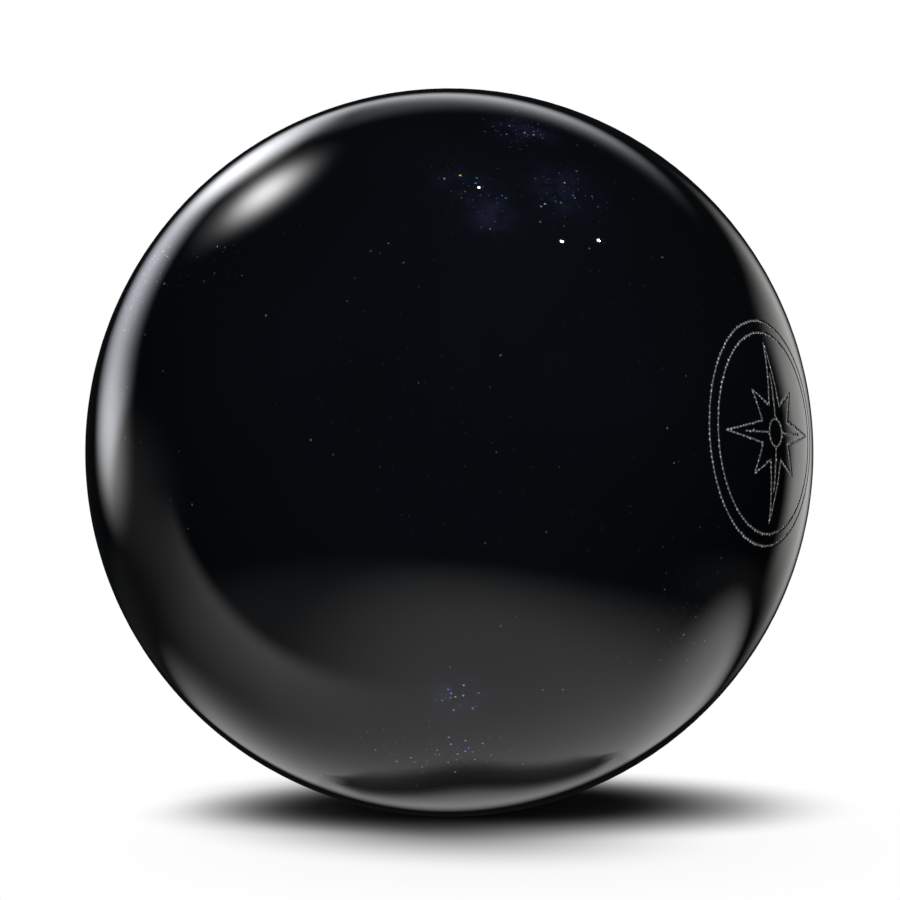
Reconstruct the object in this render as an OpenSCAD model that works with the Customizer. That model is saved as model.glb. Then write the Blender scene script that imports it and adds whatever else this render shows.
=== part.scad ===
// Bowling ball, undrilled, three-piece construction with a two-part weight block.
// The origin is the centre of the ball, +Z is up, and all sizes are millimetres.
// The axis of the weight block runs from the centre of the ball through the locating pin.

/* [Ball] */
// Outside diameter of the ball
ball_d = 217.2; // [215.9:0.1:218.3]
// Thickness of the resin coverstock
cover_wall = 25; // [18:0.5:32]

/* [Weight block] */
// Diameter of the round bulb
bulb_d = 88; // [80:1:96]
// How far the centre of the bulb lies below the centre of the ball
bulb_drop = 14; // [8:1:20]
// Height of the cap cut off the bulb to leave its flat foot
foot_cut = 4; // [2:0.5:8]
// Diameter at the waist
waist_d = 56; // [46:1:62]
// Radius of the hollow between the bulb and the waist
waist_radius = 14; // [8:1:22]
// Diameter of the collar that carries the flip block
collar_d = 72; // [66:1:82]
// Height of the collar's rim
collar_h = 6; // [5:0.5:10]
// Radius of the collar's lower edge
collar_round = 3; // [1:0.5:4]
// Number of flutes that key the bulb into the outer core
flute_count = 6; // [3:1:10]
// Radius of a flute
flute_radius = 9; // [7:0.5:14]
// Depth of a flute at the widest part of the bulb
flute_depth = 5; // [2:0.5:7]
// Diameter of the spigot that centres the flip block
spigot_d = 26; // [18:1:40]
// Height of the spigot
spigot_h = 5; // [3:0.5:7]

/* [Flip block] */
// Height of the flip block
flip_h = 20; // [17:0.5:26]
// Radius of the flip block's upper edge
flip_round = 8; // [3:0.5:12]
// Radius of the edges where the flip block meets the collar
joint_round = 1; // [0.5:0.1:1.5]

/* [Locating pin] */
// Diameter of the pin
pin_d = 12.7; // [9:0.1:16]
// How deep the pin stands in the flip block
pin_seat = 6; // [4:0.5:8]
// Turn of the pin about the vertical, from +X towards +Y
pin_azimuth = 50; // [0:5:90]
// Height of the pin above the horizontal, in degrees
pin_elevation = 35; // [10:5:60]

/* [Centre of gravity marker] */
// Diameter of the marker
marker_d = 3.2; // [2:0.1:6]
// Thickness of the marker
marker_h = 1.6; // [1:0.1:4]
// Distance from the pin to the marker, along the surface
marker_arc = 70; // [40:1:100]

/* [Fits] */
// Bond line between neighbouring castings
bond_line = 0.3; // [0.1:0.05:0.5]
// Clearance all round the pin, the spigot and the marker
round_fit = 0.1; // [0.05:0.05:0.3]

/* [Hidden] */
$fn = 256;
// How far a cutting shape runs past the face it cuts
overcut = 1;

ball_r = ball_d / 2;
cavity_r = ball_r - cover_wall;
outer_core_r = cavity_r - bond_line;

bulb_r = bulb_d / 2;
waist_r = waist_d / 2;
collar_r = collar_d / 2;
pin_r = pin_d / 2;
marker_r = marker_d / 2;
spigot_r = spigot_d / 2;

// Heights along the axis of the weight block, from the centre of the ball
bulb_z = -bulb_drop;
foot_z = bulb_z - bulb_r + foot_cut;
hollow_x = waist_r + waist_radius;
waist_z = bulb_z + sqrt(pow(bulb_r + waist_radius, 2) - pow(hollow_x, 2));
flare_radius = collar_r - waist_r;
collar_z = waist_z + flare_radius;
collar_top = collar_z + collar_h;
flip_z = collar_top + bond_line;
flip_top = flip_z + flip_h;
pin_z = flip_top - pin_seat;

flute_x = bulb_r - flute_depth + flute_radius;
marker_angle = marker_arc / ball_r * 180 / PI;

// Turns the vertical axis onto the axis of the weight block
module on_pin_axis() {
  rotate([0, 90 - pin_elevation, pin_azimuth]) children();
}

// Turns the vertical axis onto the centre of gravity marker, straight below the pin
module on_marker_axis() {
  rotate([0, 90 - pin_elevation + marker_angle, pin_azimuth]) children();
}

// Half section of a disc from height z0 to z1, with rounded lower and upper edges
module disc_section(r, z0, z1, low_round, high_round) {
  translate([0, z0]) square([r - low_round, low_round]);
  translate([0, z0 + low_round]) square([r, z1 - high_round - z0 - low_round]);
  translate([0, z1 - high_round]) square([r - high_round, high_round]);
  right_half() {
    translate([r - low_round, z0 + low_round]) circle(low_round);
    translate([r - high_round, z1 - high_round]) circle(high_round);
  }
}

// Keeps the part of a section that lies right of the axis
module right_half() {
  intersection() {
    children();
    translate([0, -ball_d]) square([ball_d, 2 * ball_d]);
  }
}

// Half section of the bulb, cut flat at its foot
module bulb_section(grow) {
  intersection() {
    right_half() translate([0, bulb_z]) circle(bulb_r + grow);
    translate([0, foot_z - grow]) square([ball_r, ball_d]);
  }
}

// Half section of the waist: a hollow tangent to the bulb, then a flare out to the collar
module waist_section(grow) {
  difference() {
    polygon([[0, bulb_z], [hollow_x, waist_z], [0, waist_z]]);
    translate([hollow_x, waist_z]) circle(waist_radius - grow);
  }
  difference() {
    translate([0, waist_z]) square([collar_r, flare_radius]);
    translate([collar_r, waist_z]) circle(flare_radius - grow);
  }
}

// Outside of the weight block, every face moved out by grow
module weight_block_form(grow = 0) {
  difference() {
    rotate_extrude() {
      bulb_section(grow);
      waist_section(grow);
      disc_section(
        collar_r + grow, collar_z - grow, collar_top + grow, collar_round + grow, joint_round + grow
      );
    }
    for (i = [0 : flute_count - 1]) {
      rotate(i * 360 / flute_count)
        translate([flute_x, 0, bulb_z - bulb_r])
          cylinder(r = flute_radius - grow, h = bulb_d);
    }
  }
}

// Outside of the flip block, every face moved out by grow
module flip_block_form(grow = 0) {
  rotate_extrude() {
    disc_section(
      collar_r + grow, flip_z - grow, flip_top + grow, joint_round + grow, flip_round + grow
    );
  }
}

// Bore for the pin, from the flip block out through the surface
module pin_bore() {
  translate([0, 0, pin_z - bond_line]) cylinder(r = pin_r + round_fit, h = ball_d);
}

// Cast resin shell, bored for the pin and recessed for the marker
module coverstock() {
  color("#0b0c10") difference() {
    sphere(ball_r);
    sphere(cavity_r);
    on_pin_axis() pin_bore();
    on_marker_axis()
      translate([0, 0, ball_r - marker_h - bond_line])
        cylinder(r = marker_r + round_fit, h = marker_h + bond_line + overcut);
  }
}

// Light filler ball that surrounds the weight block
module outer_core() {
  color("#b9a784") difference() {
    sphere(outer_core_r);
    on_pin_axis() {
      weight_block_form(bond_line);
      flip_block_form(bond_line);
      pin_bore();
    }
  }
}

// Heavy bulb with its waist, collar and spigot
module weight_block() {
  color("#3d6b8f") on_pin_axis() {
    weight_block_form();
    translate([0, 0, collar_top - overcut]) cylinder(r = spigot_r, h = spigot_h + overcut);
  }
}

// Dense disc on the collar, with sockets for the spigot below and the pin above
module flip_block() {
  color("#8c3b2e") on_pin_axis() difference() {
    flip_block_form();
    translate([0, 0, flip_z - overcut])
      cylinder(r = spigot_r + round_fit, h = spigot_h + overcut);
    pin_bore();
  }
}

// Pin from the flip block to the surface, its end flush with the ball
module locating_pin() {
  color("#d8dbe0") intersection() {
    on_pin_axis() translate([0, 0, pin_z]) cylinder(r = pin_r, h = ball_r);
    sphere(ball_r);
  }
}

// Dot inlaid flush with the surface over the centre of gravity
module cg_marker() {
  color("#d8dbe0") intersection() {
    on_marker_axis() translate([0, 0, ball_r - marker_h]) cylinder(r = marker_r, h = ball_r);
    sphere(ball_r);
  }
}

coverstock();
outer_core();
weight_block();
flip_block();
locating_pin();
cg_marker();
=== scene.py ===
import math

import bpy
import numpy as np
from mathutils import Matrix, Vector


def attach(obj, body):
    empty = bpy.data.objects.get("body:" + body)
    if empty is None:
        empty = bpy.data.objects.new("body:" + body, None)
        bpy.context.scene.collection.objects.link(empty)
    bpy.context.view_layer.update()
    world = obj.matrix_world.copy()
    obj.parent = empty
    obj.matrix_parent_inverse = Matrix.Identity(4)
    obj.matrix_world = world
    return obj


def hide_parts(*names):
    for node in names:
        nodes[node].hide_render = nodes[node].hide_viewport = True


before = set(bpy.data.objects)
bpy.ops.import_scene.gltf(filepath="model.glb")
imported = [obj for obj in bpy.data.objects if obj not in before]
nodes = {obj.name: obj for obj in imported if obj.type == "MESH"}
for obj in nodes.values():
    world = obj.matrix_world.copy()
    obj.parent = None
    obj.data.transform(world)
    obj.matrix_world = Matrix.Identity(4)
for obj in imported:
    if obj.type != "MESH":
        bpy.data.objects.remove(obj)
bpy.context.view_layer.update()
print("frame in:", ", ".join(sorted(nodes)))


# Node and mesh helpers
def addNode(tree, kind, at=(0, 0), **settings):
    made = tree.nodes.new(kind)
    made.location = at
    for name, value in settings.items():
        setattr(made, name, value)
    return made


def wire(tree, *pairs):
    for source, target in pairs:
        tree.links.new(source, target)


def feed(tree, socket, value):   # a link from a socket, or a plain value
    if isinstance(value, bpy.types.NodeSocket):
        tree.links.new(value, socket)
    else:
        socket.default_value = value


def newMaterial(name):
    material = bpy.data.materials.new(name)
    material.use_nodes = True
    material.node_tree.nodes.clear()
    return material, material.node_tree


def mathNode(tree, operation, *values, at=(0, 0), clamp=False):
    made = addNode(tree, "ShaderNodeMath", at, operation=operation, use_clamp=clamp)
    for socket, value in zip(made.inputs, values):
        feed(tree, socket, value)
    return made.outputs[0]


def rampNode(tree, factor, stops, at=(0, 0), kind="LINEAR"):
    made = addNode(tree, "ShaderNodeValToRGB", at)
    made.color_ramp.interpolation = kind
    points = made.color_ramp.elements
    while len(points) < len(stops):
        points.new(0.5)
    for point, (place, colour) in zip(points, stops):
        point.position = place
        point.color = (*colour, 1)
    tree.links.new(factor, made.inputs[0])
    return made.outputs[0]


def rangeNode(tree, value, low, high, toLow, toHigh, at=(0, 0), kind="SMOOTHSTEP"):
    made = addNode(tree, "ShaderNodeMapRange", at, interpolation_type=kind)
    for name, number in (("From Min", low), ("From Max", high), ("To Min", toLow), ("To Max", toHigh)):
        made.inputs[name].default_value = number
    tree.links.new(value, made.inputs["Value"])
    return made.outputs[0]


def noiseNode(tree, place, scale, detail, distortion=0.0, at=(0, 0)):
    made = addNode(tree, "ShaderNodeTexNoise", at)
    made.inputs["Scale"].default_value = scale
    made.inputs["Detail"].default_value = detail
    made.inputs["Distortion"].default_value = distortion
    tree.links.new(place, made.inputs["Vector"])
    return made.outputs[0]


def mixColour(tree, factor, first, second, at=(0, 0), blend="MIX"):
    made = addNode(tree, "ShaderNodeMix", at, data_type="RGBA", blend_type=blend)
    for name, value in (("Factor", factor), ("A", first), ("B", second)):
        feed(tree, next(s for s in made.inputs if s.name == name and s.enabled), value)
    return next(s for s in made.outputs if s.enabled)


def objectFromMesh(name, mesh, material=None):
    made = bpy.data.objects.new(name, mesh)
    bpy.context.scene.collection.objects.link(made)
    if material:
        mesh.materials.clear()
        mesh.materials.append(material)
    return made


def unit(vector):
    vector = np.asarray(vector, float)
    return vector / np.linalg.norm(vector, axis=-1, keepdims=True)


def directionAt(turn, rise):   # degrees from +X towards +Y, and above the horizon
    a, b = math.radians(turn), math.radians(rise)
    return np.array([math.cos(b) * math.cos(a), math.cos(b) * math.sin(a), math.sin(b)])


def readValues(items, name, count, width=1, kind=float):
    values = np.empty(count * width, kind)
    items.foreach_get(name, values)
    return values.reshape(count, width) if width > 1 else values


offAxis = (0.3, 0.2, 0.9)   # a direction that no turned body points in


# closed body turned about an axis, from (radius, height) pairs
def turned(profile, axis, sides):
    axis = unit(axis)
    across = unit(np.cross(axis, offAxis))
    up = np.cross(axis, across)
    turn = np.arange(sides) / sides * 2 * math.pi
    around = np.cos(turn)[:, None] * across + np.sin(turn)[:, None] * up
    points, starts, faces = [], [], []
    for radius, height in profile:
        starts.append(len(points))
        points += [axis * height] if radius == 0 else list(axis * height + radius * around)
    for i in range(len(profile) - 1):
        a, b = starts[i], starts[i + 1]
        for j in range(sides):
            k = (j + 1) % sides
            if profile[i][0] == 0:
                faces.append((a, b + j, b + k))
            elif profile[i + 1][0] == 0:
                faces.append((a + j, b, a + k))
            else:
                faces.append((a + j, b + j, b + k, a + k))
    return np.array(points), faces


def ballProfile(radius, steps):
    angles = [math.pi * i / steps for i in range(1, steps)]
    return [(0, radius), *((radius * math.sin(a), radius * math.cos(a)) for a in angles), (0, -radius)]


def joined(name, *shells):
    points, faces, base = [], [], 0
    for somePoints, someFaces in shells:
        points.append(somePoints)
        faces += [tuple(base + i for i in face) for face in someFaces]
        base += len(somePoints)
    mesh = bpy.data.meshes.new(name)
    mesh.from_pydata(np.concatenate(points).tolist(), [], faces)
    mesh.update()
    return mesh


# points, the vertex and the face of each corner, and the middle and normal of each face
def meshTables(mesh):
    faceCount, cornerCount = len(mesh.polygons), len(mesh.loops)
    points = readValues(mesh.vertices, "co", len(mesh.vertices), 3)
    corners = readValues(mesh.loops, "vertex_index", cornerCount, kind=np.int32)
    sizes = readValues(mesh.polygons, "loop_total", faceCount, kind=np.int32)
    centres = readValues(mesh.polygons, "center", faceCount, 3)
    flat = readValues(mesh.polygons, "normal", faceCount, 3)
    return points, corners, np.repeat(np.arange(faceCount), sizes), centres, flat


def setNormals(mesh, normals):
    mesh.polygons.foreach_set("use_smooth", np.ones(len(mesh.polygons), bool))
    mesh.normals_split_custom_set(normals.tolist())


def asideOf(points, axis):
    return points - (points @ axis)[:, None] * axis


# Sizes shared by the pieces, in metres
ballSpec = {
    "radius": 0.1086,
    "coverWall": 0.025,
    "pinRadius": 0.00635,
    "pinFoot": 0.0543,       # inner end of the pin, from the middle of the ball
    "pinTurn": 50,           # degrees
    "pinRise": 35,
    "markerRadius": 0.0016,
    "markerThick": 0.0016,
    "markerArc": 0.070,      # along the surface, straight down from the pin
    "clearance": 0.0001,
    "bondLine": 0.0003,
}
ballRadius = ballSpec["radius"]
pinAxis = directionAt(ballSpec["pinTurn"], ballSpec["pinRise"])
markerDrop = math.degrees(ballSpec["markerArc"] / ballRadius)
markerAxis = directionAt(ballSpec["pinTurn"], ballSpec["pinRise"] - markerDrop)

cameraSpec = {
    "rise": 7.0,             # degrees above the horizon
    "lens": 180,
    "sensor": 36,
    "picture": 900,
    "ballPixels": 364.2,     # radius of the ball in the picture
    "ballAt": (449.3, 452.4),
    "clip": (0.05, 30),
}


def makeCamera(spec):
    data = bpy.data.cameras.new("camera")
    data.lens, data.sensor_width = spec["lens"], spec["sensor"]
    halfPicture = spec["picture"] / 2
    spread = math.atan(spec["ballPixels"] / halfPicture * spec["sensor"] / 2 / spec["lens"])
    rise = math.radians(spec["rise"])
    back = Vector((0, -math.cos(rise), math.sin(rise)))
    camera = bpy.data.objects.new("camera", data)
    camera.location = back * ballRadius / math.sin(spread)
    camera.rotation_euler = (-back).to_track_quat("-Z", "Y").to_euler()
    data.shift_x = (halfPicture - spec["ballAt"][0]) / spec["picture"]
    data.shift_y = (spec["ballAt"][1] - halfPicture) / spec["picture"]
    data.clip_start, data.clip_end = spec["clip"]
    bpy.context.scene.collection.objects.link(camera)
    bpy.context.scene.camera = camera
    return camera


camera = makeCamera(cameraSpec)
print("camera at", [round(v, 3) for v in camera.location])

# Engraved emblem: a wind rose in two rings, cut as lines of small pits
emblemSpec = {
    "turn": -29.5,           # its middle, degrees
    "rise": 6.5,
    "lean": -8.0,
    "corners": 16,           # tips and valleys of the star
    "seed": 11,
    "batch": 4000,           # points measured against the pits in one go
    "farGap": 2.0,           # millimetres to a line or radii to a pit, from which gaps aren't told apart
    "rings": (33.0, 29.4),   # millimetres from here on
    "longTip": 26.0,
    "shortTip": 17.0,
    "valley": 8.5,
    "hub": 4.0,
    "stroke": 0.8,
    "cut": 0.14,
    "pitStep": 1.6,
    "pitRadius": (0.26, 0.48),
    "pitDepth": 0.22,
    "stray": 0.12,
    "reach": 35.1,
}


def emblemLines(spec):
    corners = spec["corners"]

    def spot(step, reach):
        angle = math.radians(90 + spec["lean"] + step * 360 / corners)
        return reach * math.cos(angle), reach * math.sin(angle)

    reaches = (spec["longTip"], spec["valley"], spec["shortTip"], spec["valley"]) * (corners // 4)
    tips = [spot(i, reach) for i, reach in enumerate(reaches)]
    lines = [(tips[i], tips[(i + 1) % corners]) for i in range(corners)]
    lines += [(spot(i, spec["hub"]), spot(i, spec["shortTip"])) for i in range(0, corners, 4)]  # ridges
    return np.array(lines)


def emblemPits(spec, lines):
    rng = np.random.default_rng(spec["seed"])
    spots = []
    for a, b in lines:
        count = max(2, round(np.linalg.norm(b - a) / spec["pitStep"]))
        along = (np.arange(count) + 0.5) / count
        spots.append(a + along[:, None] * (b - a))
    for radius in (*spec["rings"], spec["hub"]):
        count = round(2 * math.pi * radius / spec["pitStep"])
        angle = np.arange(count) / count * 2 * math.pi
        spots.append(radius * np.stack([np.cos(angle), np.sin(angle)], 1))
    spots = np.concatenate(spots)
    spots += rng.normal(0, spec["stray"], spots.shape)
    return spots, rng.uniform(*spec["pitRadius"], len(spots))


emblemAxis = directionAt(emblemSpec["turn"], emblemSpec["rise"])
emblemAcross = unit(np.cross([0, 0, 1], emblemAxis))
emblemUp = np.cross(emblemAxis, emblemAcross)
emblemStrokes = emblemLines(emblemSpec)
pitSpots, pitRadii = emblemPits(emblemSpec, emblemStrokes)
print("emblem:", len(emblemStrokes), "lines,", len(pitSpots), "pits")


# depth of the cut in metres, gap to the nearest line in millimetres and to the nearest pit in its radii
def engraving(directions):
    spec, count, farGap = emblemSpec, len(directions), emblemSpec["farGap"]
    depth, lineGap, pitGap = np.zeros(count), np.full(count, farGap), np.full(count, farGap)
    arc = np.arccos(np.clip(directions @ emblemAxis, -1, 1)) * ballRadius * 1000
    near = np.flatnonzero(arc < spec["reach"])
    turn = np.arctan2(directions[near] @ emblemUp, directions[near] @ emblemAcross)
    flat = arc[near, None] * np.stack([np.cos(turn), np.sin(turn)], 1)
    gap = np.min([np.abs(arc[near] - r) for r in (*spec["rings"], spec["hub"])], axis=0)
    for a, b in emblemStrokes:
        span = b - a
        share = np.clip((flat - a) @ span / (span @ span), 0, 1)
        gap = np.minimum(gap, np.linalg.norm(flat - a - share[:, None] * span, axis=1))
    pit = np.full(len(near), farGap)
    close = np.flatnonzero(gap < farGap)
    for start in range(0, len(close), spec["batch"]):
        some = close[start:start + spec["batch"]]
        far = np.linalg.norm(flat[some, None] - pitSpots[None], axis=2) / pitRadii
        pit[some] = np.minimum(farGap, far.min(axis=1))
    groove = np.sqrt(np.clip(1 - (2 * gap / spec["stroke"]) ** 2, 0, 1))
    depth[near] = (spec["cut"] * groove + spec["pitDepth"] * np.clip(1 - pit ** 2, 0, 1)) / 1000
    lineGap[near] = np.minimum(gap, farGap)
    pitGap[near] = pit
    return depth, lineGap, pitGap


# Coverstock: outer skin, cavity, pin bore and marker recess
coverSpec = {
    "fineStep": 0.00026,
    "coarseStep": 0.0045,
    "stepGrowth": 1.35,
    "lastStep": 1.4,         # least gap to the far pole, in steps
    "zones": ((0.004, 80), (0.012, 240), (0.0351, 720), (0.318, 240), (1, 80)),  # reach, columns
    "cavitySteps": 48,
    "boreSides": 128,
    "recessSides": 48,
    "cutterEnd": 1.2,        # of the ball's radius
    "skin": 0.0012,          # depth that holds the outer skin with its cuts
    "facing": 0.3,           # least cosine between a face of the skin and the ball's own normal
    "cavityMargin": 0.0004,
    "wallReach": 1.2,        # of a bore's radius
    "wallFacing": 0.5,       # most cosine between a face of a bore's wall and its axis
}


def coverRings(spec):
    rings, arc, step, end = [], 0.0, spec["fineStep"], math.pi * ballRadius
    while arc + spec["lastStep"] * step < end:
        arc += step
        if arc > emblemSpec["reach"] / 1000:
            step = min(spec["coarseStep"], step * spec["stepGrowth"])
        rings.append((arc, next(columns for reach, columns in spec["zones"] if arc <= reach)))
    return rings


# faces between two rings with the same count of points, or three times as many on one of them
def ringFaces(a, b, inner, outer):
    faces, few = [], min(inner, outer)
    for j in range(few):
        k = (j + 1) % few
        if inner == outer:
            faces.append((a + j, b + j, b + k, a + k))
        elif outer > inner:
            m = [b + (3 * j + i) % outer for i in range(4)]
            faces += [(a + j, m[0], m[1]), (a + j, m[1], m[2], a + k), (a + k, m[2], m[3])]
        else:
            m = [a + (3 * j + i) % inner for i in range(4)]
            faces += [(m[0], b + j, m[1]), (m[1], b + j, b + k, m[2]), (m[2], b + k, m[3])]
    return faces


def coverSkin(spec):
    rings = coverRings(spec)
    points, starts, total = [emblemAxis[None]], [], 1
    for arc, columns in rings:
        turn = np.arange(columns) / columns * 2 * math.pi
        around = np.cos(turn)[:, None] * emblemAcross + np.sin(turn)[:, None] * emblemUp
        tilt = arc / ballRadius
        points.append(math.cos(tilt) * emblemAxis + math.sin(tilt) * around)
        starts.append(total)
        total += columns
    points.append(-emblemAxis[None])
    first, last = rings[0][1], rings[-1][1]
    faces = [(0, starts[0] + j, starts[0] + (j + 1) % first) for j in range(first)]
    for i in range(len(rings) - 1):
        faces += ringFaces(starts[i], starts[i + 1], rings[i][1], rings[i + 1][1])
    faces += [(total, starts[-1] + (j + 1) % last, starts[-1] + j) for j in range(last)]
    directions = unit(np.concatenate(points))
    return directions * (ballRadius - engraving(directions)[0])[:, None], faces


def makeCover(spec):
    cavity = ballProfile(ballRadius - ballSpec["coverWall"], spec["cavitySteps"])
    cavityPoints, cavityFaces = turned(cavity, -pinAxis, 2 * spec["cavitySteps"])
    inward = [face[::-1] for face in cavityFaces]
    draft = objectFromMesh("coverDraft", joined("coverDraft", coverSkin(spec), (cavityPoints, inward)))
    past = ballRadius * spec["cutterEnd"]
    recessFoot = ballRadius - ballSpec["markerThick"] - ballSpec["bondLine"]
    tubes = []
    for axis, radius, foot, sides in (
        (pinAxis, ballSpec["pinRadius"], ballSpec["pinFoot"], spec["boreSides"]),
        (markerAxis, ballSpec["markerRadius"], recessFoot, spec["recessSides"]),
    ):
        wide = radius + ballSpec["clearance"]
        tubes.append(turned([(0, past), (wide, past), (wide, foot), (0, foot)], axis, sides))
    cutter = objectFromMesh("coverCutter", joined("coverCutter", *tubes))
    cut = draft.modifiers.new("bores", "BOOLEAN")
    cut.operation, cut.solver, cut.object = "DIFFERENCE", "EXACT", cutter
    graph = bpy.context.evaluated_depsgraph_get()
    mesh = bpy.data.meshes.new_from_object(draft.evaluated_get(graph))
    mesh.name = "polishedCover"
    for spare in (draft, cutter):
        spareMesh = spare.data
        bpy.data.objects.remove(spare)
        bpy.data.meshes.remove(spareMesh)
    return mesh


# true normals of the ball, so that the polish shows no trace of the mesh
def polishCover(mesh, spec):
    points, corners, faceOf, centres, flat = meshTables(mesh)
    away = unit(points)
    depth, lineGap, pitGap = engraving(away)
    far = np.linalg.norm(centres, axis=1)
    outer = (far > ballRadius - spec["skin"]) & ((flat * unit(centres)).sum(1) > spec["facing"])
    cavity = far < ballRadius - ballSpec["coverWall"] + spec["cavityMargin"]
    keep, inside = outer[faceOf], cavity[faceOf]
    summed = np.zeros_like(points)
    np.add.at(summed, corners[keep], flat[faceOf[keep]])
    cutFace, cutPoint = np.zeros(len(centres), bool), np.zeros(len(points), bool)
    np.logical_or.at(cutFace, faceOf, depth[corners] > 0)
    cutPoint[corners[cutFace[faceOf] & keep]] = True
    skin = np.where(cutPoint[:, None], summed, away)
    normals = flat[faceOf].copy()
    normals[keep] = unit(skin[corners[keep]])
    normals[inside] = -away[corners[inside]]
    for axis, radius in ((pinAxis, ballSpec["pinRadius"]), (markerAxis, ballSpec["markerRadius"])):
        inBore = np.linalg.norm(asideOf(centres, axis), axis=1) < radius * spec["wallReach"]
        wall = inBore & ~outer & ~cavity & (np.abs(flat @ axis) < spec["wallFacing"])
        onWall = wall[faceOf]
        normals[onWall] = -unit(asideOf(points[corners[onWall]], axis))
    setNormals(mesh, normals)
    return away, lineGap, pitGap


# where flakes crowd together, brighter and misted as a painted glint: turn, rise and half width in degrees,
# share of flakes, mist of painted glow
flakeSpec = {
    "glintClouds": (
        (-89, 52, 2.8, 0.28, 0.24),
        (-82, 49, 2.8, 0.24, 0.42),
        (-81, 44, 2.6, 0.26, 0.48),
        (-62, 50, 4.4, 0.15, 0.34),
        (-66, 47, 3.0, 0.14, 0.1),
        (-62, 65, 3.6, 0.45, 0.42),
        (-89, -32, 3.6, 0.75, 0.9),
        (-102, -45, 5.4, 0.42, 0.1),
        (-89, -45, 5.4, 0.34, 0.1),
        (-50, -22, 9.0, 0.14, 0.0),
        (-140, 38, 9.0, 0.035, 0.0),
        (-146, 2, 11.0, 0.035, 0.0),
        (-126, -7, 3.5, 0.12, 0.0),
        (-92, 8, 14.0, 0.012, 0.0),
        (20, 48, 7.0, 0.22, 0.4),
        (28, 39, 5.0, 0.18, 0.3),
        (110, 42, 8.0, 0.22, 0.4),
        (150, -20, 7.0, 0.16, 0.2),
        (-160, 30, 7.0, 0.22, 0.4),
        (75, -35, 6.0, 0.18, 0.3),
    ),
    "even": 0.008,           # share of flakes away from the clouds
    "waves": 7,              # slow waves that make the shares patchy
    "waveRate": 9,
    "patchiness": 0.3,
    "patchLimit": 2.5,
    "seed": 23,
}


def flakeShare(away, spec):
    rng = np.random.default_rng(spec["seed"])
    drift = np.zeros(len(away))
    for _ in range(spec["waves"]):
        drift += np.sin(away @ rng.normal(0, spec["waveRate"], 3) + rng.uniform(0, 2 * math.pi))
    patchy = np.clip(1 + spec["patchiness"] * drift, 0, spec["patchLimit"])
    share, glintMist = spec["even"] * patchy, np.zeros(len(away))
    for turn, rise, width, gain, veil in spec["glintClouds"]:
        angle = np.degrees(np.arccos(np.clip(away @ directionAt(turn, rise), -1, 1)))
        bell = np.exp(-(angle / width) ** 2)
        share += gain * bell * patchy
        # veil: the painted glow that each glint cloud lays on the resin
        glintMist += veil * bell
    return share, np.clip(glintMist, 0, 1)


def addShare(mesh, name, values):
    layer = mesh.attributes.new(name, "FLOAT", "POINT")
    layer.data.foreach_set("value", np.asarray(values, np.float32))


coverMesh = makeCover(coverSpec)
away, lineGap, pitGap = polishCover(coverMesh, coverSpec)
flakes, glintMist = flakeShare(away, flakeSpec)
for name, values in (("lineGap", lineGap), ("pitGap", pitGap), ("flakes", flakes), ("glintMist", glintMist)):
    addShare(coverMesh, name, values)
print("coverstock:", len(coverMesh.polygons), "faces")

# Cover resin: black polish over mica flakes, with painted glints where they crowd, frosted where it is cut
resinSpec = {
    "drift": (14, 5, 0.8),    # scale, detail and distortion of the slow drift between the tones
    "driftStops": (0.35, 0.68),
    "tones": ((0.0003, 0.0004, 0.0005), (0.0008, 0.0011, 0.0015)),
    # colour of the painted glow where flakes crowd
    "glintMist": (0.014, 0.0145, 0.040),
    "curl": (180, 3),         # "curl": (180, 3), # scale and detail of the curls in the mist of painted glow
    "curlRange": (0.32, 0.66, 0.2, 1.1),
    "cut": (0.12, 0.12, 0.125),
    "pit": (0.84, 0.85, 0.86),
    "line": (0.16, 0.36),     # half width of the frosted line, millimetres
    "pitEdge": (0.45, 1.0),   # of a pit's radius
    "frost": (3200, 2),       # scale and detail of the frost in the pits
    "frostRange": (0.3, 0.6, 0.5, 1),
    "flakes": (820, 0.34),    # to a metre, radius in cells
    "dust": (1300, 0.34),
    "dustShare": 0.5,
    "dustColours": ((0.012, 0.014, 0.024), (0.034, 0.040, 0.105)),   # "dustColours": ((0.012, 0.014, 0.024), (0.034, 0.040, 0.105)), # alone and in a crowd, where the brighter blue is painted glint
    "slant": (0.5, 0.8, 0.3),  # turn of the cells, so that their rows don't follow the axes
    "tints": ((0.0, (0.20, 0.34, 0.95)), (0.32, (0.80, 0.86, 0.95)), (0.56, (0.12, 0.66, 0.66)),
              (0.82, (0.42, 0.30, 0.90)), (0.89, (0.90, 0.16, 0.12)), (0.95, (0.90, 0.74, 0.18))),
    "glint": (0.02, 1.0),
    "glintFall": 3.1,         # the higher, the fewer bright flakes
    "crowdGlint": (0.03, 0.25),    # "crowd": (0.03, 0.25), # share of flakes from which they are brighter as painted glint, and at their brightest
    "alone": 0.26,            # "alone": 0.26, # brightness of flakes that don't crowd, outside the painted glint
    "pale": (0.80, 0.86, 0.90),
    "paleShare": 0.75,        # how far lone flakes turn pale, at the first of the next shares and under it
    "lone": (0.014, 0.04),
    "flakeMetal": 0.5,
    "roughness": (0.26, 0.62),
    "coatIor": 1.45,
    "coatRoughness": 0.018,
}


flakeCore = 0.6   # part of a flake's radius inside its soft edge


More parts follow.
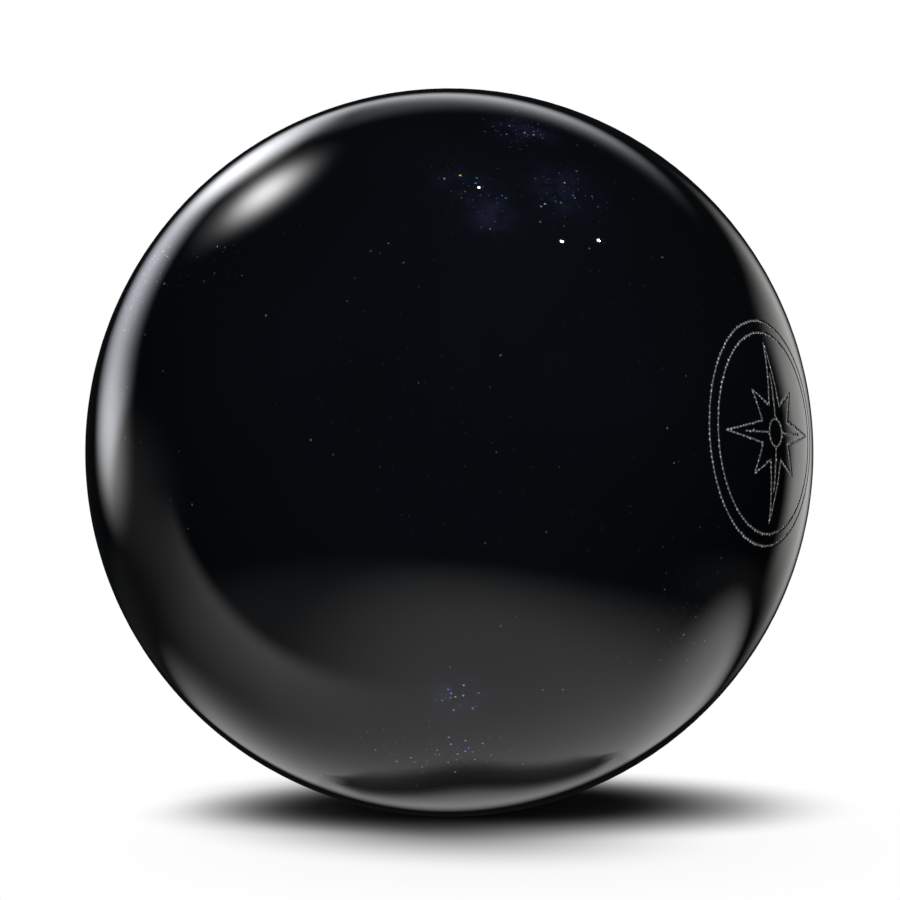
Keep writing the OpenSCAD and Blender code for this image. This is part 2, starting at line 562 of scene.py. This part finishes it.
# cells chosen by chance, as many as the share says, with a round flake in each
def flakeLayer(tree, place, scale, radius, share, at):
    x, y = at
    cells = addNode(tree, "ShaderNodeTexVoronoi", at, voronoi_dimensions="3D", feature="F1")
    cells.inputs["Scale"].default_value = scale
    split = addNode(tree, "ShaderNodeSeparateColor", (x + 180, y))
    wire(tree, (place, cells.inputs["Vector"]), (cells.outputs["Color"], split.inputs[0]))
    core = radius * flakeCore
    inside = rangeNode(tree, cells.outputs["Distance"], core, radius, 1, 0, (x + 180, y + 150))
    pick = mathNode(tree, "ADD", split.outputs[0], share, at=(x + 360, y))
    chosen = mathNode(tree, "GREATER_THAN", pick, 1.0, at=(x + 540, y))
    return mathNode(tree, "MULTIPLY", inside, chosen, at=(x + 720, y)), split


# blue-black that drifts slowly, with a violet mist of painted glow and fine dust, bluer as painted glint
# where flakes crowd
def resinGround(tree, place, cells, share, glintMist, crowdGlint, spec):
    drift = noiseNode(tree, place, *spec["drift"], (-800, 500))
    resin = rampNode(tree, drift, tuple(zip(spec["driftStops"], spec["tones"])), (-500, 500))
    curl = noiseNode(tree, place, *spec["curl"], 0, (-800, 800))
    curl = rangeNode(tree, curl, *spec["curlRange"], (-500, 800))
    veil = mathNode(tree, "MULTIPLY", glintMist, curl, at=(-200, 800))
    resin = mixColour(tree, veil, resin, (*spec["glintMist"], 1), (0, 600))
    faint = mathNode(tree, "MULTIPLY", share, spec["dustShare"], at=(-800, -300))
    dust = flakeLayer(tree, cells, *spec["dust"], faint, (-800, -400))[0]
    grain = rampNode(tree, crowdGlint, tuple(zip((0, 1), spec["dustColours"])), (-100, 750))
    return mixColour(tree, dust, resin, grain, (200, 600))


# where the mica flakes are, and their colour: weaker and paler where they stand alone, brighter and
# coloured as painted glint where they crowd
def micaFlakes(tree, cells, share, crowdGlint, spec):
    mask, split = flakeLayer(tree, cells, *spec["flakes"], share, (-800, 0))
    tint = rampNode(tree, split.outputs[1], spec["tints"], (100, 250), "CONSTANT")
    pale = rangeNode(tree, share, *spec["lone"], spec["paleShare"], 0, (100, 100))
    tint = mixColour(tree, pale, tint, (*spec["pale"], 1), (250, 250))
    glint = mathNode(tree, "POWER", split.outputs[2], spec["glintFall"], at=(-100, 420))
    glint = rangeNode(tree, glint, 0, 1, *spec["glint"], (100, 420), "LINEAR")
    bright = rangeNode(tree, crowdGlint, 0, 1, spec["alone"], 1, (100, 600), "LINEAR")
    glint = mathNode(tree, "MULTIPLY", glint, bright, at=(250, 420))
    return mask, mixColour(tree, 1.0, tint, glint, (400, 250), "MULTIPLY")


# where the surface is cut, and the colour there: a grey bottom with bright pits
def cutFrost(tree, place, lineGap, pitGap, spec):
    line = rangeNode(tree, lineGap, *spec["line"], 1, 0, (400, -450))
    pit = rangeNode(tree, pitGap, *spec["pitEdge"], 1, 0, (400, -650))
    frost = noiseNode(tree, place, *spec["frost"], 0, (400, -850))
    frost = rangeNode(tree, frost, *spec["frostRange"], (700, -850))
    pit = mathNode(tree, "MULTIPLY", pit, frost, at=(850, -650))
    cut = mathNode(tree, "MAXIMUM", line, pit, at=(850, -450))
    return cut, mixColour(tree, pit, (*spec["cut"], 1), (*spec["pit"], 1), (1050, -450))


def makeResin(spec):
    material, tree = newMaterial("coverResin")
    out = addNode(tree, "ShaderNodeOutputMaterial", (2400, 0))
    skin = addNode(tree, "ShaderNodeBsdfPrincipled", (2100, 0))
    place = addNode(tree, "ShaderNodeTexCoord", (-1200, 0)).outputs["Object"]
    share, glintMist, lineGap, pitGap = (
        addNode(tree, "ShaderNodeAttribute", (-1200, -300 - 200 * i), attribute_name=name).outputs["Fac"]
        for i, name in enumerate(("flakes", "glintMist", "lineGap", "pitGap")))
    slanted = addNode(tree, "ShaderNodeMapping", (-1000, 0))
    slanted.inputs["Rotation"].default_value = spec["slant"]
    wire(tree, (place, slanted.inputs["Vector"]))
    cells = slanted.outputs[0]
    # painted glint: flakes and dust grow brighter where flakes crowd
    crowdGlint = rangeNode(tree, share, *spec["crowdGlint"], 0, 1, (-800, -600))
    ground = resinGround(tree, place, cells, share, glintMist, crowdGlint, spec)
    mask, flake = micaFlakes(tree, cells, share, crowdGlint, spec)
    body = mixColour(tree, mask, ground, flake, (700, 250))
    cut, frost = cutFrost(tree, place, lineGap, pitGap, spec)
    colour = mixColour(tree, cut, body, frost, (1400, 200))

    polish = mathNode(tree, "SUBTRACT", 1.0, cut, at=(1400, -100))
    metal = mathNode(tree, "MULTIPLY", mask, spec["flakeMetal"], at=(1200, -250))
    metal = mathNode(tree, "MULTIPLY", metal, polish, at=(1400, -250))
    rough = rangeNode(tree, cut, 0, 1, *spec["roughness"], (1400, -420), "LINEAR")
    wire(tree, (colour, skin.inputs["Base Color"]), (rough, skin.inputs["Roughness"]),
         (polish, skin.inputs["Coat Weight"]), (metal, skin.inputs["Metallic"]),
         (skin.outputs[0], out.inputs[0]))
    skin.inputs["Specular IOR Level"].default_value = 0
    skin.inputs["Coat Roughness"].default_value = spec["coatRoughness"]
    skin.inputs["Coat IOR"].default_value = spec["coatIor"]
    return material


cover = objectFromMesh("polishedCover", coverMesh, makeResin(resinSpec))
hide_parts("coverstock")
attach(cover, "root")
print("cover resin on")

# Pin and marker: pearly resin plugs, their outer ends ground to the ball
plugSpec = {
    "tones": ((0.44, 0.47, 0.52), (0.66, 0.69, 0.74)),
    "swirl": (160, 6, 1.6),  # scale, detail and distortion
    "swirlStops": (0.34, 0.66),
    "roughness": (0.28, 0.42),
    "specular": 0.06,
    "coatRoughness": 0.03,
    "coatIor": 1.45,
    "bevel": 0.0004,
    "bevelShare": 6,         # the bevel is at most the radius over this
    "capSteps": 10,
    "endFacing": 0.9,        # least cosine between the outer end and the axis
    "sideFacing": 0.3,       # most cosine between the side and the axis
    "pinSides": 96,
    "markerSides": 48,
}


def makePlugResin(spec):
    material, tree = newMaterial("plugResin")
    out = addNode(tree, "ShaderNodeOutputMaterial", (900, 0))
    skin = addNode(tree, "ShaderNodeBsdfPrincipled", (600, 0))
    place = addNode(tree, "ShaderNodeTexCoord", (-600, 0)).outputs["Object"]
    swirl = noiseNode(tree, place, *spec["swirl"], (-400, 0))
    colour = rampNode(tree, swirl, tuple(zip(spec["swirlStops"], spec["tones"])), (-100, 0))
    rough = rangeNode(tree, swirl, 0, 1, *spec["roughness"], (-100, -300), "LINEAR")
    wire(tree, (colour, skin.inputs["Base Color"]), (rough, skin.inputs["Roughness"]),
         (skin.outputs[0], out.inputs[0]))
    skin.inputs["Specular IOR Level"].default_value = spec["specular"]
    skin.inputs["Coat Weight"].default_value = 1
    skin.inputs["Coat Roughness"].default_value = spec["coatRoughness"]
    skin.inputs["Coat IOR"].default_value = spec["coatIor"]
    return material


def makePlug(name, spec, axis, radius, foot, sides):
    bevel = min(spec["bevel"], radius / spec["bevelShare"])
    steps = [radius * i / spec["capSteps"] for i in range(spec["capSteps"] + 1)]
    cap = [(r, math.sqrt(ballRadius ** 2 - r ** 2)) for r in steps]
    profile = cap + [(radius, foot + bevel), (radius - bevel, foot), (0, foot)]
    mesh = joined(name, turned(profile, axis, sides))
    points, corners, faceOf, centres, flat = meshTables(mesh)
    spots, normals = points[corners], flat[faceOf].copy()
    end = (flat @ axis > spec["endFacing"])[faceOf]
    side = (np.abs(flat @ axis) < spec["sideFacing"])[faceOf]
    normals[end] = unit(spots[end])
    normals[side] = unit(asideOf(spots[side], axis))
    setNormals(mesh, normals)
    return mesh


plugResin, plugs = makePlugResin(plugSpec), []
for name, axis, radius, foot, sides, node, slot in (
    ("pinPlug", pinAxis, ballSpec["pinRadius"], ballSpec["pinFoot"],
     plugSpec["pinSides"], "locating_pin", "pin_resin"),
    ("markerPlug", markerAxis, ballSpec["markerRadius"], ballRadius - ballSpec["markerThick"],
     plugSpec["markerSides"], "cg_marker", "marker_resin"),
):
    plug = objectFromMesh(name, makePlug(name, plugSpec, axis, radius, foot, sides), plugResin)
    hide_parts(node)
    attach(plug, "root")
    plugs.append(plug)
print("pin and marker in")

# Castings inside the ball: filler, weight block and flip block
castingSpec = {
    "flow": (32, 6, 1.1),    # scale, detail and distortion of the drift between the tones
    "flowStops": (0.3, 0.7),
    "speckRadius": 0.2,      # in cells
    "bump": 0.25,
    "bumpDepth": 0.0004,
    "roughness": (0.55, 0.8),
    "castings": {
        "outer_core": {
            "tones": ((0.30, 0.24, 0.16), (0.50, 0.42, 0.30)), "speck": (0.68, 0.62, 0.52), "grain": 260},
        "weight_block": {
            "tones": ((0.05, 0.12, 0.21), (0.13, 0.25, 0.38)), "speck": (0.45, 0.52, 0.58), "grain": 420},
        "flip_block": {
            "tones": ((0.20, 0.05, 0.035), (0.40, 0.13, 0.09)), "speck": (0.60, 0.42, 0.34), "grain": 420},
    },
}


def makeCasting(name, spec, finish):
    material, tree = newMaterial(name + "Casting")
    out = addNode(tree, "ShaderNodeOutputMaterial", (1100, 0))
    skin = addNode(tree, "ShaderNodeBsdfPrincipled", (800, 0))
    place = addNode(tree, "ShaderNodeTexCoord", (-800, 0)).outputs["Object"]
    flow = noiseNode(tree, place, *finish["flow"], (-600, 200))
    bubbles = addNode(tree, "ShaderNodeTexVoronoi", (-600, -150))
    bubbles.inputs["Scale"].default_value = spec["grain"]
    tone = rampNode(tree, flow, tuple(zip(finish["flowStops"], spec["tones"])), (-300, 200))
    speck = mathNode(tree, "LESS_THAN", bubbles.outputs["Distance"], finish["speckRadius"], at=(-300, -150))
    colour = mixColour(tree, speck, tone, (*spec["speck"], 1), (200, 100))
    bump = addNode(tree, "ShaderNodeBump", (400, -300))
    bump.inputs["Strength"].default_value = finish["bump"]
    bump.inputs["Distance"].default_value = finish["bumpDepth"]
    rough = rangeNode(tree, flow, 0, 1, *finish["roughness"], (200, -100), "LINEAR")
    wire(tree, (place, bubbles.inputs["Vector"]), (colour, skin.inputs["Base Color"]),
         (rough, skin.inputs["Roughness"]), (bubbles.outputs["Distance"], bump.inputs["Height"]),
         (bump.outputs[0], skin.inputs["Normal"]), (skin.outputs[0], out.inputs[0]))
    return material


for name, spec in castingSpec["castings"].items():
    casting = makeCasting(name, spec, castingSpec)
    for slot in nodes[name].material_slots:
        slot.material = casting
print("castings coated")

# Stage: pale floor, dark tent, soft cards and lamps
rise = math.radians(cameraSpec["rise"])
towards = np.array([0, -math.cos(rise), math.sin(rise)])   # from the ball to the camera
upright = np.array([0, math.sin(rise), math.cos(rise)])
rightward = np.array([1.0, 0, 0])


# direction from degrees round and above the line to the camera
def seenAt(turn, height):
    a, b = math.radians(turn), math.radians(height)
    return math.cos(b) * (math.sin(a) * rightward + math.cos(a) * towards) + math.sin(b) * upright


def flatSheet(name, wide, high):
    mesh = bpy.data.meshes.new(name)
    rim = [(-wide, -high, 0), (wide, -high, 0), (wide, high, 0), (-wide, high, 0)]
    mesh.from_pydata(rim, [], [(0, 1, 2, 3)])
    return mesh


def makeWorld():
    world = bpy.data.worlds.new("paleWorld")
    bpy.context.scene.world = world
    world.use_nodes = True
    tree = world.node_tree
    tree.nodes.clear()
    path = addNode(tree, "ShaderNodeLightPath", (-400, 0)).outputs
    seen = mathNode(tree, "MAXIMUM", path["Is Camera Ray"], path["Is Glossy Ray"], at=(-200, 0))
    seen = mathNode(tree, "MAXIMUM", seen, path["Is Transmission Ray"], at=(0, 0))
    sky = addNode(tree, "ShaderNodeBackground", (200, 0))
    sky.inputs["Color"].default_value = (1, 1, 1, 1)
    out = addNode(tree, "ShaderNodeOutputWorld", (400, 0))
    wire(tree, (seen, sky.inputs["Strength"]), (sky.outputs[0], out.inputs[0]))


floorSpec = {
    "half": 1.0,
    "tones": ((0.60, 0.60, 0.60), (0.62, 0.62, 0.62)),
    "grain": (900, 3),       # scale and detail of the drift between the tones
    "grainStops": (0.3, 0.7),
    "pools": (               # lit parts of the floor, as ovals with soft edges
        {"middle": (0.029, -0.117), "reach": (0.099, 0.139), "turn": -32, "level": 0.85,
         "edge": (0.26, 1.5)},
        {"middle": (-0.118, -0.140), "reach": (0.105, 0.066), "turn": -67, "level": 0.155,
         "edge": (0, 1.9)},
        {"middle": (0.126, 0.0), "reach": (0.074, 0.044), "turn": 12, "level": 1.0,
         "edge": (0.35, 1.6)},
        {"middle": (-0.030, -0.012), "reach": (0.086, 0.037), "turn": -25, "level": 0.82,
         "edge": (0.31, 1.7)},
        {"middle": (-0.27, 0.09), "reach": (0.16, 0.13), "turn": 0, "level": 0.022,
         "edge": (0.3, 1.5)},
        {"middle": (0.23, -0.02), "reach": (0.07, 0.09), "turn": 0, "level": 0.045,
         "edge": (0.2, 1.5)},
    ),
    "streak": {"middle": (-0.100, -0.086), "turn": -11.0, "level": 0.98, "front": 0.020, "back": 0.107,
               "right": 0.150, "full": 0.0, "left": 0.90, "fall": 3.1, "leftFall": 3.2, "widen": 2.9},
    "shadows": (             # shadow on the floor: right, left and in front of the contact, and all round
        {"middle": (0.018, 0.0085), "reach": (0.110, 0.058), "turn": -4, "edge": (0.23, 1),
         "level": 1.0, "fall": 1.8},
        {"middle": (-0.0075, 0.007), "reach": (0.092, 0.044), "turn": 12, "edge": (0.32, 1),
         "level": 0.95, "fall": 1.0},
        {"middle": (-0.006, -0.0275), "reach": (0.092, 0.059), "turn": -20, "edge": (0, 1),
         "level": 0.84, "fall": 1.0},
        {"middle": (0.022, -0.058), "reach": (0.160, 0.115), "turn": 0, "edge": (0, 1),
         "level": 0.07, "fall": 1.0},
    ),
    # dark oval behind the ball, then the dark bow near the contact, a painted shade that only mirrored rays
    # see, and its levels from front to back
    "shade": {"middle": (0.002, 0.290), "reach": (0.152, 0.321), "turn": 0, "edge": (0.982, 1.012)},
    "arc": {"middle": (0.0055, -0.0621), "turn": 0, "slope": 0.62, "round": 0.012, "shift": 0.0045,
            "narrowing": (0.036, 0.056), "tip": 0.1, "ends": (0.041, 0.057), "span": (-0.0235, 0.0185)},
    "arcStops": ((0.0, 1.0), (0.20, 1.0), (0.26, 0.92), (0.30, 0.74), (0.35, 0.50), (0.39, 0.33),
                 (0.43, 0.22), (0.48, 0.15), (0.55, 0.10), (0.63, 0.07), (0.70, 0.15), (0.775, 0.38),
                 (0.84, 0.60), (0.97, 0.80)),
}


# place on the floor, from a shape's own middle and along its own axes
def placeIn(tree, place, shape, at):
    local = addNode(tree, "ShaderNodeMapping", at, vector_type="TEXTURE")
    local.inputs["Location"].default_value = (*shape["middle"], 0)
    local.inputs["Rotation"].default_value = (0, 0, math.radians(shape["turn"]))
    local.inputs["Scale"].default_value = (*shape.get("reach", (1, 1)), 1)
    wire(tree, (place, local.inputs["Vector"]))
    return local.outputs[0]


# painted shade: dark bow in front of the contact, two straight arms with a round bend, narrowing and fading
# to the tips
def arcShare(tree, place, spec, stops, at):
    x, y = at
    split = addNode(tree, "ShaderNodeSeparateXYZ", (x + 200, y))
    wire(tree, (placeIn(tree, place, spec, at), split.inputs[0]))
    aside, ahead = split.outputs[0], split.outputs[1]
    bend = mathNode(tree, "MULTIPLY_ADD", aside, aside, spec["round"] ** 2, at=(x + 400, y))
    bend = mathNode(tree, "SQRT", bend, at=(x + 500, y))
    gap = mathNode(tree, "MULTIPLY_ADD", bend, -spec["slope"], ahead, at=(x + 600, y))
    aside = mathNode(tree, "SUBTRACT", aside, spec["shift"], at=(x + 300, y - 200))
    aside = mathNode(tree, "ABSOLUTE", aside, at=(x + 400, y - 200))
    width = rangeNode(tree, aside, *spec["narrowing"], 1, spec["tip"], (x + 600, y - 200))
    gap = mathNode(tree, "DIVIDE", gap, width, at=(x + 700, y - 200))
    gap = rangeNode(tree, gap, *spec["span"], 0, 1, (x + 800, y), "LINEAR")
    level = rampNode(tree, gap, [(stop, (share,) * 3) for stop, share in stops], (x + 900, y))
    ends = rangeNode(tree, aside, *spec["ends"], 0, 1, (x + 600, y - 400))
    return mathNode(tree, "MAXIMUM", level, ends, at=(x + 1100, y))


# distance from the middle of an oval on the floor, 1 at its rim
def ovalDistance(tree, place, oval, at):
    length = addNode(tree, "ShaderNodeVectorMath", (at[0] + 200, at[1]), operation="LENGTH")
    wire(tree, (placeIn(tree, place, oval, at), length.inputs[0]))
    return length.outputs["Value"]


# strip of light with a crisp front edge, fading to the back and towards both ends
def streakShare(tree, place, spec, at):
    x, y = at
    split = addNode(tree, "ShaderNodeSeparateXYZ", (x + 200, y))
    wire(tree, (placeIn(tree, place, spec, at), split.inputs[0]))
    along, left, full = split.outputs[0], -spec["left"], spec["full"]
    spread = rangeNode(tree, along, left, 0, 1 + spec["widen"], 1, (x + 300, y + 200), "LINEAR")
    across = mathNode(tree, "DIVIDE", split.outputs[1], spread, at=(x + 300, y))
    back = rangeNode(tree, across, 0, spec["back"], 1, 0, (x + 400, y), "LINEAR")
    share = mathNode(tree, "POWER", back, spec["fall"], at=(x + 600, y))
    far = rangeNode(tree, along, left, full, 0, 1, (x + 400, y - 400), "LINEAR")
    for fade in (
        rangeNode(tree, across, -spec["front"], 0, 0, spec["level"], (x + 400, y - 200)),
        mathNode(tree, "POWER", far, spec["leftFall"], at=(x + 600, y - 400)),
        rangeNode(tree, along, full, spec["right"], 1, 0, (x + 400, y - 600)),
    ):
        share = mathNode(tree, "MULTIPLY", share, fade, at=(x + 800, y))
    return share


# share of the floor that is lit for all but the camera: the streak and the pools, less the shade
def litShare(tree, place, spec):
    streak = streakShare(tree, place, spec["streak"], (-1000, -900))
    unlit = mathNode(tree, "SUBTRACT", 1.0, streak, at=(0, -900))
    for i, pool in enumerate(spec["pools"]):
        far = ovalDistance(tree, place, pool, (-800, -200 * i))
        share = rangeNode(tree, far, *pool["edge"], 1 - pool["level"], 1, (-400, -200 * i))
        unlit = mathNode(tree, "MULTIPLY", unlit, share, at=(-200, -200 * i))
    lit = mathNode(tree, "SUBTRACT", 1.0, unlit, at=(0, -400))
    shade = ovalDistance(tree, place, spec["shade"], (-800, 300))
    shade = rangeNode(tree, shade, *spec["shade"]["edge"], 0, 1, (-400, 300))
    return mathNode(tree, "MULTIPLY", lit, shade, at=(100, -400))


# share of white that the camera sees, all of it away from the shadows
def whiteShare(tree, place, direct, shadows):
    white = direct
    for i, shadow in enumerate(shadows):
        y = 900 + 200 * i
        far = ovalDistance(tree, place, shadow, (-800, y))
        clearing = rangeNode(tree, far, *shadow["edge"], 0, 1, (-400, y))
        clearing = mathNode(tree, "POWER", clearing, shadow["fall"], at=(-200, y))
        clearing = rangeNode(tree, clearing, 0, 1, 1 - shadow["level"], 1, (-100, y), "LINEAR")
        white = mathNode(tree, "MULTIPLY", white, clearing, at=(50, y))
    return white


def makeFloor(spec):
    material, tree = newMaterial("paleFloor")
    out = addNode(tree, "ShaderNodeOutputMaterial", (1700, 0))
    place = addNode(tree, "ShaderNodeTexCoord", (-1200, 0)).outputs["Object"]
    path = addNode(tree, "ShaderNodeLightPath", (-1200, -400)).outputs
    direct = path["Is Camera Ray"]
    glossy, through = path["Is Glossy Ray"], path["Is Transmission Ray"]
    mirrored = mathNode(tree, "MAXIMUM", glossy, through, at=(-1000, -400))
    solid = mathNode(tree, "MAXIMUM", litShare(tree, place, spec), direct, at=(200, -400))

    # white for the camera, and for mirrored rays away from the painted dark bow
    lift = whiteShare(tree, place, direct, spec["shadows"])
    arc = arcShare(tree, place, spec["arc"], spec["arcStops"], (-800, 600))
    arc = mathNode(tree, "MULTIPLY", arc, mirrored, at=(250, 500))
    lift = mathNode(tree, "ADD", lift, arc, at=(400, 700))

    grain = noiseNode(tree, place, *spec["grain"], 0, (200, 300))
    paper = rampNode(tree, grain, tuple(zip(spec["grainStops"], spec["tones"])), (400, 300))
    matte = addNode(tree, "ShaderNodeBsdfDiffuse", (700, 300))
    white = addNode(tree, "ShaderNodeEmission", (700, 100))
    clear = addNode(tree, "ShaderNodeBsdfTransparent", (1000, -200))
    lifted = addNode(tree, "ShaderNodeMixShader", (1000, 200))
    whole = addNode(tree, "ShaderNodeMixShader", (1400, 0))
    wire(tree, (paper, matte.inputs["Color"]), (whole.outputs[0], out.inputs[0]))
    for mix, share, first, second in ((lifted, lift, matte, white), (whole, solid, clear, lifted)):
        wire(tree, (share, mix.inputs[0]), (first.outputs[0], mix.inputs[1]),
             (second.outputs[0], mix.inputs[2]))
    floor = objectFromMesh("paleFloor", flatSheet("paleFloor", spec["half"], spec["half"]), material)
    floor.location.z = -ballRadius


tentSpec = {
    "radius": 5.0,
    "steps": 24,             # from pole to pole
    "front": (0.062, 0.083, 0.118),
    "back": (0.007, 0.008, 0.009),
    "tilt": 25,              # degrees that the bright side lies above the front
    "fade": (0.9, -0.75),    # of the radius, from the bright side to the dark one
}


def makeTent(spec):
    material, tree = newMaterial("darkTent")
    out = addNode(tree, "ShaderNodeOutputMaterial", (700, 0))
    glow = addNode(tree, "ShaderNodeEmission", (500, 0))
    place = addNode(tree, "ShaderNodeTexCoord", (-600, 0)).outputs["Object"]
    ahead = addNode(tree, "ShaderNodeVectorMath", (-400, 0), operation="DOT_PRODUCT")
    ahead.inputs[1].default_value = directionAt(-90, spec["tilt"]) / spec["radius"]
    wire(tree, (place, ahead.inputs[0]))
    share = rangeNode(tree, ahead.outputs["Value"], *spec["fade"], 0, 1, (-200, 0))
    colour = rampNode(tree, share, ((0, spec["front"]), (1, spec["back"])), (0, 0))
    wire(tree, (colour, glow.inputs["Color"]), (glow.outputs[0], out.inputs[0]))
    shell = turned(ballProfile(spec["radius"], spec["steps"]), (0, 0, -1), 2 * spec["steps"])
    mesh = joined("darkTent", shell)
    tent = objectFromMesh("darkTent", mesh, material)
    tent.visible_camera = tent.visible_diffuse = False


# soft cards: place and half size in degrees, seen from the ball; a card without soft edges fades as a bell,
# the narrower the higher its power; below tells how far under its middle it ends, from full to none, and
# behind how far it stands behind the others, in metres
cardSpec = {
    "distance": 3.0,
    "bell": 3,               # power of a card that names none
    "cards": {
        "softbox": {"at": (-129.5, 47.6), "half": (22.7, 19.7), "lean": -38, "strength": 8.9,
                    "colour": (1, 1, 1), "bell": 12},
        "softboxGlow": {"at": (-133.5, 44.5), "half": (17, 17), "lean": -38, "strength": 0.7,
                        "colour": (1, 1, 1), "behind": 0.05},
        "rimStrip": {"at": (-145, 17.5), "half": (27.5, 14.8), "lean": 35.5, "strength": 2.04,
                     "colour": (0.89, 0.915, 1.0), "soft": (0.3, 1.0)},
        "rimSpot": {"at": (-155.5, 30.3), "half": (9.8, 15.6), "lean": 29.5, "strength": 2.95,
                    "colour": (1, 1, 1)},
        "lowSpot": {"at": (-130.9, 1.4), "half": (19.5, 14.8), "lean": 8, "strength": 1.7,
                    "colour": (1, 1, 1)},
        "veil": {"at": (-112, -7), "half": (28, 20), "lean": 0, "strength": 0.11,
                 "colour": (1, 1, 1)},
        "backBand": {"at": (177, 27.4), "half": (42, 21), "lean": 16, "strength": 1.40,
                     "colour": (0.955, 0.975, 1.0), "bell": 7, "below": (-0.16, 0.19)},
        "backGlow": {"at": (-175, 39), "half": (28, 11.5), "lean": 0, "strength": 0.21,
                     "colour": (0.955, 0.975, 1.0), "behind": 0.05},
        "sideStrip": {"at": (147, 2.5), "half": (19.5, 20.5), "lean": 0, "strength": 0.98,
                      "colour": (1.0, 0.99, 0.96), "soft": (0.6, 0.75)},
    },
}


# share of a card's light at each place on it
def cardShare(tree, local, spec, bell):
    split = addNode(tree, "ShaderNodeSeparateXYZ", (-200, -400))
    wire(tree, (local, split.inputs[0]))
    if "soft" in spec:
        fades = []
        for i, soft in enumerate(spec["soft"]):
            far = mathNode(tree, "ABSOLUTE", split.outputs[i], at=(0, -200 * i))
            fades.append(rangeNode(tree, far, 1 - soft, 1, 1, 0, (200, -200 * i)))
        share = mathNode(tree, "MULTIPLY", *fades, at=(400, 0))
    else:
        square = addNode(tree, "ShaderNodeVectorMath", (-200, 0), operation="DOT_PRODUCT")
        wire(tree, (local, square.inputs[0]), (local, square.inputs[1]))
        left = mathNode(tree, "SUBTRACT", 1.0, square.outputs["Value"], at=(0, 0), clamp=True)
        share = mathNode(tree, "POWER", left, bell, at=(200, 0))
    if "below" in spec:
        full, none = spec["below"]
        kept = rangeNode(tree, split.outputs[1], -none, -full, 0, 1, (0, -400))
        share = mathNode(tree, "MULTIPLY", share, kept, at=(400, -200))
    return share


def makeCard(name, spec, distance, bell):
    wide, high = (distance * math.tan(math.radians(v)) for v in spec["half"])
    material, tree = newMaterial(name)
    out = addNode(tree, "ShaderNodeOutputMaterial", (1100, 0))
    glow = addNode(tree, "ShaderNodeEmission", (700, 0))
    glow.inputs["Color"].default_value = (*spec["colour"], 1)
    clear = addNode(tree, "ShaderNodeBsdfTransparent", (700, -150))
    both = addNode(tree, "ShaderNodeAddShader", (900, 0))
    place = addNode(tree, "ShaderNodeTexCoord", (-600, 0)).outputs["Object"]
    local = addNode(tree, "ShaderNodeVectorMath", (-400, 0), operation="DIVIDE")
    local.inputs[1].default_value = (wide, high, 1)
    share = cardShare(tree, local.outputs[0], spec, bell)
    strength = mathNode(tree, "MULTIPLY", share, spec["strength"], at=(550, 0))
    wire(tree, (place, local.inputs[0]), (strength, glow.inputs["Strength"]),
         (glow.outputs[0], both.inputs[0]), (clear.outputs[0], both.inputs[1]),
         (both.outputs[0], out.inputs[0]))
    card = objectFromMesh(name, flatSheet(name, wide, high), material)
    outward = seenAt(*spec["at"])
    across = unit(np.cross(outward, (0, 0, 1)))      # to the right, seen from the ball
    stand = Matrix([across, np.cross(across, outward), -outward]).transposed().to_4x4()
    lean = Matrix.Rotation(math.radians(spec["lean"]), 4, "Z")
    card.matrix_world = Matrix.Translation(Vector(outward * distance)) @ stand @ lean
    card.visible_camera = card.visible_diffuse = False


lampSpec = {
    "overhead": {"at": (0.0, 0.1, 1.5), "size": 0.9, "power": 24},
    "fillFront": {"at": (0.4, -1.8, 0.3), "size": 0.8, "power": 20, "onlyBall": True},
}
sparkSpec = {
    "places": ((63.5, 59.2, 0.012), (81.5, 54.5, 0.011), (74.2, 83.4, 0.007)),   # turn, height, radius
    "distance": 1.68,
    "glow": 11000,           # power for each square metre of a spark's face
}


def makeLamp(name, spec):
    data = bpy.data.lights.new(name, "AREA")
    data.shape, data.size, data.energy = "DISK", spec["size"], spec["power"]
    lamp = bpy.data.objects.new(name, data)
    lamp.location = spec["at"]
    lamp.rotation_euler = (-Vector(spec["at"])).to_track_quat("-Z", "Y").to_euler()
    lamp.visible_camera = lamp.visible_glossy = False
    if spec.get("onlyBall"):   # leaves the shadow on the floor as the overhead lamp casts it
        lamp.light_linking.receiver_collection = ballSet
    bpy.context.scene.collection.objects.link(lamp)


def makeSparks(spec):
    for turn, height, radius in spec["places"]:
        data = bpy.data.lights.new("spark", "POINT")
        data.shadow_soft_size, data.energy = radius, spec["glow"] * radius ** 2
        lamp = bpy.data.objects.new("spark", data)
        lamp.location = Vector(seenAt(turn, height) * spec["distance"])
        lamp.visible_camera = lamp.visible_diffuse = False
        bpy.context.scene.collection.objects.link(lamp)


ballSet = bpy.data.collections.new("ballSet")
for piece in (cover, *plugs):
    ballSet.objects.link(piece)
makeWorld()
makeFloor(floorSpec)
makeTent(tentSpec)
for name, spec in cardSpec["cards"].items():
    distance = cardSpec["distance"] + spec.get("behind", 0)
    makeCard(name, spec, distance, spec.get("bell", cardSpec["bell"]))
for name, spec in lampSpec.items():
    makeLamp(name, spec)
makeSparks(sparkSpec)
bpy.context.scene.view_settings.view_transform = "Standard"
print("stage set")
